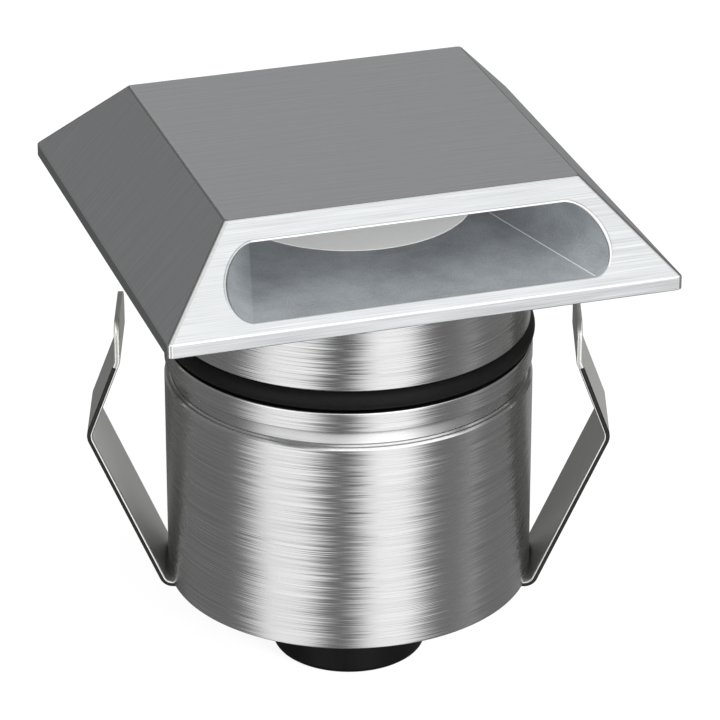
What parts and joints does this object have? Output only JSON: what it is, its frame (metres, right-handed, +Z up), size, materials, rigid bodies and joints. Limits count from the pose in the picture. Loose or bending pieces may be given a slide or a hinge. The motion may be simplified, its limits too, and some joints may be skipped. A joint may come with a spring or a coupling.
{
  "type": "in-ground deck light",
  "caption": "Square one-way deck light with a slot in its sloping front, on a round recessed housing with spring clips and a cable gland.",
  "frame": {"origin": "centre of the head's underside, in the plane of the deck surface", "axes": "+Z up out of the deck along the housing's axis; the light leaves the slot towards -Y; X and Y run along the head's edges"},
  "size_m": [0.0832, 0.08, 0.0897],
  "materials": {
    "brushed_head": "stainless steel, brushed with a long straight grain",
    "satin_floor": "stainless steel, bead-blasted to a fine satin",
    "frosted_glass": "acid-frosted toughened glass",
    "seal_rubber": "matt black silicone rubber",
    "turned_steel": "stainless steel, turned and brushed round",
    "screw_steel": "plain stainless fastener",
    "reflector_white": "glossy white moulded reflector",
    "lamp_board": "white solder mask on an aluminium-core board",
    "lamp_phosphor": "yellow phosphor gel",
    "carrier_aluminium": "turned aluminium",
    "ring_steel": "phosphated spring steel",
    "post_brass": "turned brass",
    "circuit_board": "green solder mask on glass-epoxy board",
    "coil_wire": "enamelled copper winding",
    "capacitor_sleeve": "black shrink sleeve",
    "moulded_black": "moulded epoxy",
    "terminal_green": "green moulded terminal housing",
    "gland_nylon": "matt black moulded nylon",
    "spring_strip": "rolled stainless spring strip with a smooth satin face"
  },
  "bodies": {
    "housing": {"collar": "turned_steel", "collar_seal": "seal_rubber", "housing": "turned_steel", "board_posts": "post_brass", "driver_board": "circuit_board", "board_screws": "screw_steel", "driver_coil": "coil_wire", "driver_capacitors": "capacitor_sleeve", "driver_chips": "moulded_black", "terminal_block": "terminal_green", "terminal_screws": "screw_steel", "gland_locknut": "gland_nylon", "base_seal": "seal_rubber", "gland_body": "gland_nylon", "gland_insert": "seal_rubber", "gland_cap": "gland_nylon", "clip_foot": "spring_strip"},
    "head": {"head_cover": "brushed_head", "floor_plate": "satin_floor", "lens": "frosted_glass", "lens_gasket": "seal_rubber", "neck": "turned_steel", "cover_screws": "screw_steel", "optic_cup": "reflector_white", "led_board": "lamp_board", "led_chips": "lamp_phosphor", "led_screws": "screw_steel", "led_carrier": "carrier_aluminium", "carrier_ring": "ring_steel", "lead_grommet": "seal_rubber", "seal_ring": "seal_rubber", "retaining_ring": "ring_steel"},
    "left_arm": {"left_arm": "spring_strip"},
    "right_arm": {"right_arm": "spring_strip"}
  },
  "joints": [
    {"name": "head_turn", "type": "hinge", "parent": "housing", "child": "head", "pos_m": [0, 0, -0.025], "axis": [0, 0, 1], "range_deg": [-170, 170]},
    {"name": "left_arm_flex", "type": "hinge", "parent": "housing", "child": "left_arm", "pos_m": [-0.02682, 0.00858, -0.06013], "axis": [0.3049, 0.9524, 0], "range_deg": [0, 7.5], "stiffness_Nm_per_rad": 1.2},
    {"name": "right_arm_flex", "type": "hinge", "parent": "housing", "child": "right_arm", "pos_m": [0.02682, -0.00858, -0.06013], "axis": [-0.3049, -0.9524, 0], "range_deg": [0, 7.5], "stiffness_Nm_per_rad": 1.2}
  ]
}
